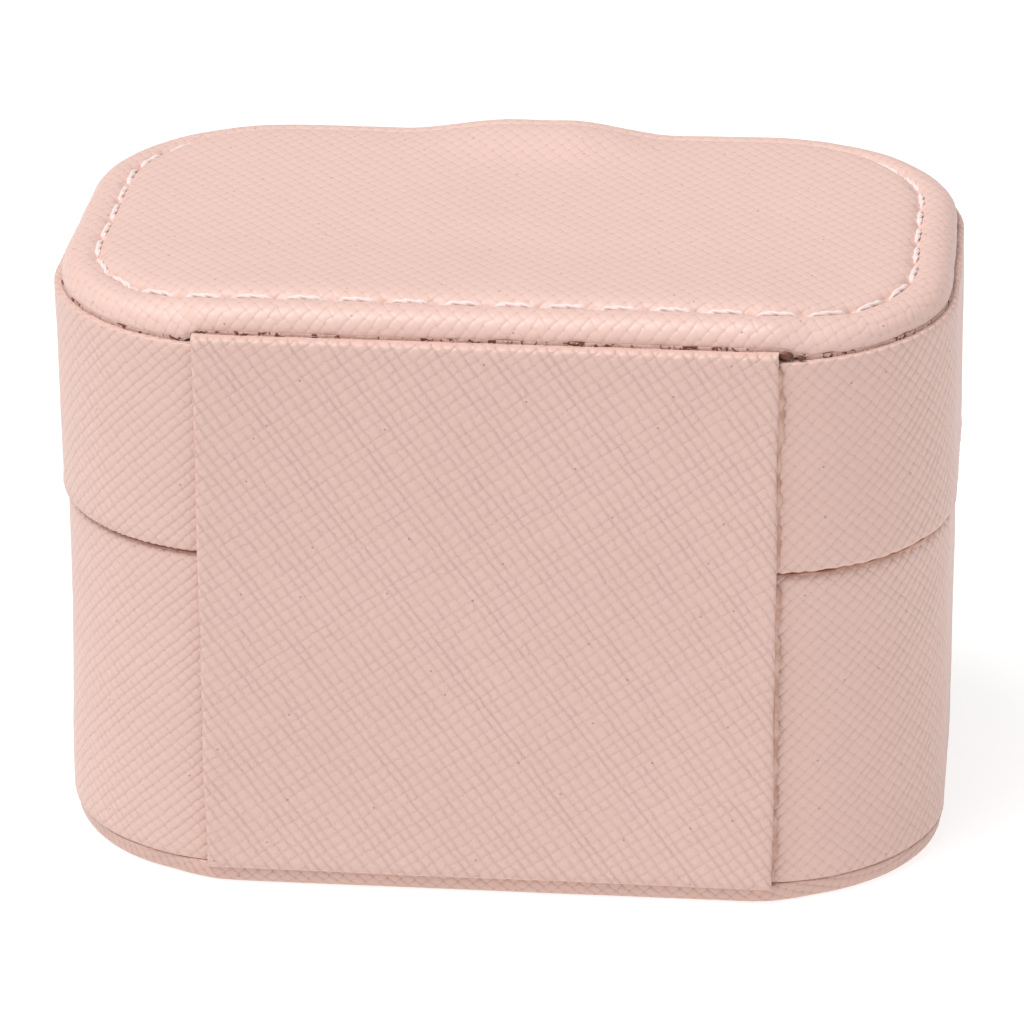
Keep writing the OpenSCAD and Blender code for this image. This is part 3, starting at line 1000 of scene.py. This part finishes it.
def tab_path(s):
    """Place, heading and half thickness of the strap at s millimetres from the
    end that is glued under the top panel. It bends over the lid's front edge."""
    if s < TAB_FLAT:
        return np.array((ANCHOR_HIGH[1] - s, ANCHOR_Z)), np.array((0.0, 1.0)), 0.4
    if s < TAB_FLAT + TAB_ARC:
        a = (s - TAB_FLAT) / BEND_R
        normal = np.array((-math.sin(a), math.cos(a)))
        place = np.array((TAB_MID_Y + BEND_R, ANCHOR_Z - BEND_R)) + normal * BEND_R
        return place, normal, 0.4 + 0.4 * (s - TAB_FLAT) / TAB_ARC
    down = s - TAB_FLAT - TAB_ARC
    place = np.array((TAB_MID_Y, ANCHOR_Z - BEND_R - down))
    return place, np.array((-1.0, 0.0)), 0.8


def tab_leather():
    """Two-layer strap: out from under the top, over the edge and down the front."""
    flat, bent = TAB_FLAT, TAB_FLAT + TAB_ARC
    centre_s = bent + ANCHOR_Z - BEND_R - TAB_CENTRE_Z
    stops = list(np.linspace(0, 0.8, 5)) + list(np.linspace(1.4, flat, 18))
    stops += list(np.linspace(flat, bent, 12))[1:]
    stops += list(np.linspace(bent, centre_s, 66))[1:]
    stops += [centre_s + TAB_R * math.sin(a)
              for a in np.linspace(0, math.pi / 2, 34)[1:]]
    across = np.sin(np.linspace(-math.pi / 2, math.pi / 2, 61))
    front = np.zeros((len(stops), len(across), 3))
    back = np.zeros_like(front)
    uv = np.zeros((len(stops), len(across), 2))
    for i, s in enumerate(stops):
        place, normal, half = tab_path(s)
        beyond = max(0.0, s - centre_s)
        width = math.sqrt(max(0.0, TAB_R ** 2 - beyond ** 2))
        for j, t in enumerate(across):
            x = t * width
            from_edge = TAB_R - (math.hypot(x, beyond) if beyond else abs(x))
            from_edge = max(0.0, min(from_edge, s))
            near = min(1.0, from_edge / 0.5)
            thick = half * math.sqrt(max(0.0, 1 - (1 - near) ** 2))
            line = math.exp(-((from_edge - 1.8) / 0.35) ** 2)
            dip = 0.1 * line * (s > bent)
            soft = ripple(x, s, 3, 0.16) * 0.14
            for grid, sign in ((front, 1), (back, -1)):
                reach = sign * (thick - dip) + soft * (s > flat)
                grid[i, j] = (x, *(place + normal * reach))
            uv[i, j] = (x, s)
    faces, places = grid_faces(len(stops), len(across), False, False)
    count = len(stops) * len(across)
    points = np.concatenate((front.reshape(-1, 3), back.reshape(-1, 3)))
    both = [list(face) for face in faces]
    both += [[count + k for k in face[::-1]] for face in faces]
    corner = [tuple(uv[a, b]) for a, b in places]
    for k in range(0, len(places), 4):
        corner += [tuple(uv[a, b]) for a, b in places[k:k + 4][::-1]]
    piece = make_object("tab_leather", points, both, corner, LEATHER_TAB)
    merge(piece, 0.002)
    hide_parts("tab_anchor", "tab_back_leather", "tab_front_leather")
    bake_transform(piece)


def tab_stitches():
    """Stitches down both sides of the tab and round its end."""
    radius, pitch, count = TAB_R - 1.8, 3.9, 7
    up = np.array((0.0, -1.0, 0.0))
    y = TAB_LOW[1] + 0.02
    places = []
    for side in (-1, 1):
        for k in range(count):
            z = TAB_CENTRE_Z + (k + 0.5) * pitch
            places.append((np.array((side * radius, y, z)),
                           np.array((0.0, 0.0, 1.0)), up))
    for k in range(count):
        a = math.pi + (k + 0.5) * math.pi / count
        places.append((
            np.array((radius * math.cos(a), y, TAB_CENTRE_Z + radius * math.sin(a))),
            np.array((-math.sin(a), 0.0, math.cos(a))), up,
        ))
    stitch_piece("tab_thread", places, 3.1, "closure_tab", "tab_stitching",
                 sink=0.25, rise=0.12)


def button_cap():
    """Domed metal cap with a rolled rim and a fine turned groove."""
    sides = 96
    low, high = box_mm("closure_button")
    radius, middle_z = high[0], (low[2] + high[2]) / 2
    face, tall = TAB_LOW[1], TAB_LOW[1] - low[1]
    shape = [(0.0, 0.0), (0.93, -0.02), (0.98, 0.05), (1.0, 0.16), (0.995, 0.27),
             (0.97, 0.36), (0.93, 0.41), (0.885, 0.40), (0.85, 0.355),
             (0.83, 0.345), (0.81, 0.37), (0.79, 0.44)]
    shape += [(share, 0.44 + 0.54 * (1 - (share / 0.79) ** 2))
              for share in (0.74, 0.68, 0.6, 0.52, 0.44, 0.36, 0.28, 0.2, 0.12,
                            0.05, 0.0)]
    grid = np.zeros((len(shape), sides, 3))
    for i, (share, rise) in enumerate(shape):
        for k, a in enumerate(angles(sides)):
            grid[i, k] = (radius * share * math.cos(a), face - tall * rise,
                          middle_z + radius * share * math.sin(a))
    piece = grid_object("button_cap", grid, np.arange(sides + 1) * 0.3,
                        np.arange(len(shape)) * 0.4, GOLD, close_rows=False)
    merge(piece, 0.001)
    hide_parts("closure_button")
    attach(piece, "closure_tab")


# ---- inside
def inside_rings():
    """Velvet over the collar and over the lid's walls."""
    for name, node, body, thick, low_r, high_r in (
        ("collar_velvet", "inner_collar", "base", 1.4, 0.05, 0.6),
        ("lid_velvet", "lid_lining", "lid", 1.0, 0.4, 0.05),
    ):
        low, high = box_mm(node)
        outer = high[0] - CORE[0] - CORNER_R
        profile = rounded(four_corners((outer - thick, low[2]), (outer, high[2]),
                                       low_r, high_r), 0.7)

        def shift(x, y, z, out):
            soft = ripple(x, y, z, 0.13) * 0.12
            return (soft if out < outer - 0.3 else 0.0), 0.0

        piece = ring_solid(name, wall_loop(CORNER_R, 420), CORNER_R, profile,
                           VELVET, shift)
        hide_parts(node)
        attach(piece, body)


def soft_slab(name, corners, low, high, edges, spine, puff):
    """Closed soft slab of a rounded outline, with rounded edges. edges are the
    lower and upper edge radius, and puff swells its upper side."""
    outline = rounded(corners, 0.8)
    ahead = np.roll(outline, -1, axis=0) - np.roll(outline, 1, axis=0)
    ahead /= np.linalg.norm(ahead, axis=1)[:, None]
    out = np.stack((ahead[:, 1], -ahead[:, 0]), axis=1)
    a, b = np.array(spine[0], float), np.array(spine[1], float)
    line = b - a
    t = np.clip((outline - a) @ line / max(line @ line, 1e-9), 0, 1)
    middle = a + t[:, None] * line

    def turn(radius, level, sign):
        return [(radius * (1 - math.sin(a)), 0.0,
                 level + sign * radius * (1 - math.cos(a)))
                for a in np.linspace(0, math.pi / 2, 7)]

    rows = [(edges[0], share, low) for share in (1.0, 0.75, 0.5, 0.25, 0.1)]
    rows += turn(edges[0], low, 1)
    rows += [(0.0, 0.0, z) for z in
             np.linspace(low + edges[0], high - edges[1],
                         max(3, int((high - low) / 1.2)))[1:-1]]
    rows += turn(edges[1], high, -1)[::-1]
    rows += [(edges[1], share, high) for share in (0.05, 0.12, 0.25, 0.5, 0.75, 1.0)]
    grid = np.zeros((len(rows), len(outline), 3))
    for i, (inset, share, z) in enumerate(rows):
        flat = (outline - out * inset) * (1 - share) + middle * share
        swell = puff if z > (low + high) / 2 else 0
        rise = swell * (1 - (1 - min(1.0, share * 2.5)) ** 2)
        for j, (x, y) in enumerate(flat):
            soft = ripple(x, y, z, 0.16) * 0.06 * (0.3 + share)
            grid[i, j] = (x, y, z + rise + soft)
    piece = grid_object(name, grid, lengths(outline), np.arange(len(rows)) * 0.8,
                        VELVET, close_rows=False)
    merge(piece, 0.002)
    return piece


def room(inset, right=None):
    """Corners of the case's outline at an inset, cut off at a right end."""
    radius, x, y = CORNER_R - inset, HALF_W - inset, HALF_D - inset
    end, end_r = (x, radius) if right is None else (right, 0.3)
    return [(-x, -y, radius), (end, -y, end_r), (end, y, end_r), (-x, y, radius)]


def inside_pads():
    """Floor pad, ring block, dividers and the pad on the lid's ceiling."""
    inset = HALF_W - box_mm("inner_collar")[1][0] + 1.4
    bed, ceiling = box_mm("ring_block")[1][0], box_mm("ceiling_pad")[1][0]
    main_low, main_high = box_mm("main_divider")
    cross_low, cross_high = box_mm("cross_divider")
    middle = (main_low[0] + main_high[0]) / 2
    crest_r = (main_high[0] - main_low[0]) / 2 - 0.02
    for name, node, body, corners, edges, spine, puff, fill in (
        ("floor_pad", "floor_lining", "base", room(inset), (0.1, 0.35),
         ((-16, 0), (16, 0)), 0.12, 0.7),
        ("ring_bed", "ring_block", "base", room(inset, bed), (0.1, 0.8),
         ((-18, 0), (0, 0)), 0, 0.9),
        ("main_divider_velvet", "main_divider", "base",
         four_corners(main_low, main_high, 0.2, 0.2), (0.05, crest_r),
         ((middle, main_low[1] + 1), (middle, main_high[1] - 1)), 0, None),
        ("cross_divider_velvet", "cross_divider", "base",
         four_corners(cross_low, cross_high, 0.2, 0.2), (0.05, crest_r),
         ((cross_low[0] + 1, 0), (cross_high[0] - 1, 0)), 0, None),
        ("ceiling_velvet", "ceiling_pad", "lid", room(HALF_W - ceiling), (0.5, 0.1),
         ((-16, 0), (16, 0)), 0, 0.6),
    ):
        low, high = box_mm(node)
        piece = soft_slab(name, corners, low[2], high[2], edges, spine, puff)
        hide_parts(node)
        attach(piece, body)


def roll(number):
    """Soft velvet roll that holds rings, flattened a little where it rests."""
    node = f"ring_roll_{number}"
    low, high = box_mm(node)
    radius, inner_r, end_depth, sides = (high[2] - low[2]) / 2, CORNER_R - 4.8, 1.6, 72
    y0, z0 = (number - 2.5) * (2 * radius + 0.4), (low[2] + high[2]) / 2
    ends = [(math.sin(a), end_depth - end_depth * (1 - math.cos(a)))
            for a in np.linspace(0.0, math.pi / 2, 9)]
    rings = [(size, 0, -into) for size, into in ends]
    rings += [(1.0, t, 0) for t in np.linspace(0, 1, 60)[1:-1]]
    rings += [(size, 1, into) for size, into in reversed(ends)]
    grid = np.zeros((len(rings), sides, 3))
    for i, (size, share, into) in enumerate(rings):
        for k, a in enumerate(angles(sides)):
            c, s = math.cos(a), math.sin(a)
            soft = 1 + ripple(i * 0.35, c * 3, s * 3 + number, 0.5) * 0.02
            y = y0 + radius * size * soft * c
            z = max(z0 + radius * size * soft * s, low[2] + 0.05)
            beyond = max(0.0, abs(y) - CORE[1])
            left = -(CORE[0] + math.sqrt(max(0.5, inner_r ** 2 - beyond ** 2)))
            start, end = left + end_depth, high[0] - end_depth
            grid[i, k] = (start * (1 - share) + end * share + into,
                          min(max(y, y0 - radius), y0 + radius), min(z, high[2]))
    piece = grid_object(f"roll_{number}", grid, np.arange(sides + 1) * 0.5,
                        np.arange(len(rings)) * 0.8, VELVET_ROLL, close_rows=False)
    merge(piece, 0.002)
    piece.data.flip_normals()
    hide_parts(node)
    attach(piece, "base")


def mirror_surround():
    """Leather-covered frame whose lip holds the mirror."""
    low, high = box_mm("mirror_frame")
    mirror_low = box_mm("mirror")[0]
    corner = 6
    loop = Loop((high[0] - corner, high[1] - corner), corner, 320)
    profile = rounded([
        (-3, low[2], 0.3), (0, low[2], 0.8), (0, high[2], 0.05), (-2, high[2], 0.05),
        (-2, mirror_low[2], 0.05), (-3, mirror_low[2], 0.1),
    ], 0.35)
    piece = ring_solid("mirror_surround", loop, corner, profile, LEATHER_TAB)
    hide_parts("mirror_frame")
    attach(piece, "lid")


# ---- studio
def studio():
    """Pale floor, soft key light from the upper left of the view, and fill."""
    white = (1, 1, 1, 1)
    material = patchy("studio_floor", 40, 2.0, 0.5, None, (168, 168, 168),
                      (172, 172, 172), 0, Roughness=0.9, Emission_Color=white,
                      Emission_Strength=0.74)
    bpy.ops.mesh.primitive_grid_add(x_subdivisions=8, y_subdivisions=8, size=6)
    floor = bpy.context.object
    floor.name = "studio_floor"
    floor.data.materials.append(material)
    world = bpy.data.worlds.new("studio")
    scene.world = world
    world.use_nodes = True
    sky = world.node_tree.nodes["Background"]
    sky.inputs["Color"].default_value = white
    sky.inputs["Strength"].default_value = 0.37
    aim = Vector((0, 0, 0.03))
    for name, place, width, power in (
        ("key", (0.7, 0.46, 2.1), 1.3, 45.0),
        ("fill", (-1.2, 0.9, 0.8), 1.0, 2.2),
    ):
        data = bpy.data.lights.new(name, "AREA")
        data.energy = power
        data.size = width
        lamp = bpy.data.objects.new(name, data)
        scene.collection.objects.link(lamp)
        lamp.location = place
        lamp.rotation_euler = (aim - Vector(place)).to_track_quat("-Z", "Y").to_euler()
    scene.view_settings.view_transform = "Standard"


add_camera()
base_leather()
lid_leather()
top_leather()
strip_leather()
bottom_leather()
top_stitches()
seam_details()
loose_fibres()
glue_spots()
strip_glue_and_shadow()
parting_stain_and_shadow()
needle_hole_shade()
tab_leather()
tab_stitches()
button_cap()
inside_rings()
inside_pads()
for number in (1, 2, 3, 4):
    roll(number)
mirror_surround()
studio()

for material, nodes in (
    (BOARD, ("bottom_board", "base_shell", "lid_shell", "top_board")),
    (FOAM, ("top_foam",)),
    (STEEL, ("keeper_plate", "tab_magnet")),
    (MIRROR, ("mirror",)),
):
    for node in nodes:
        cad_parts[node].data.materials[0] = material
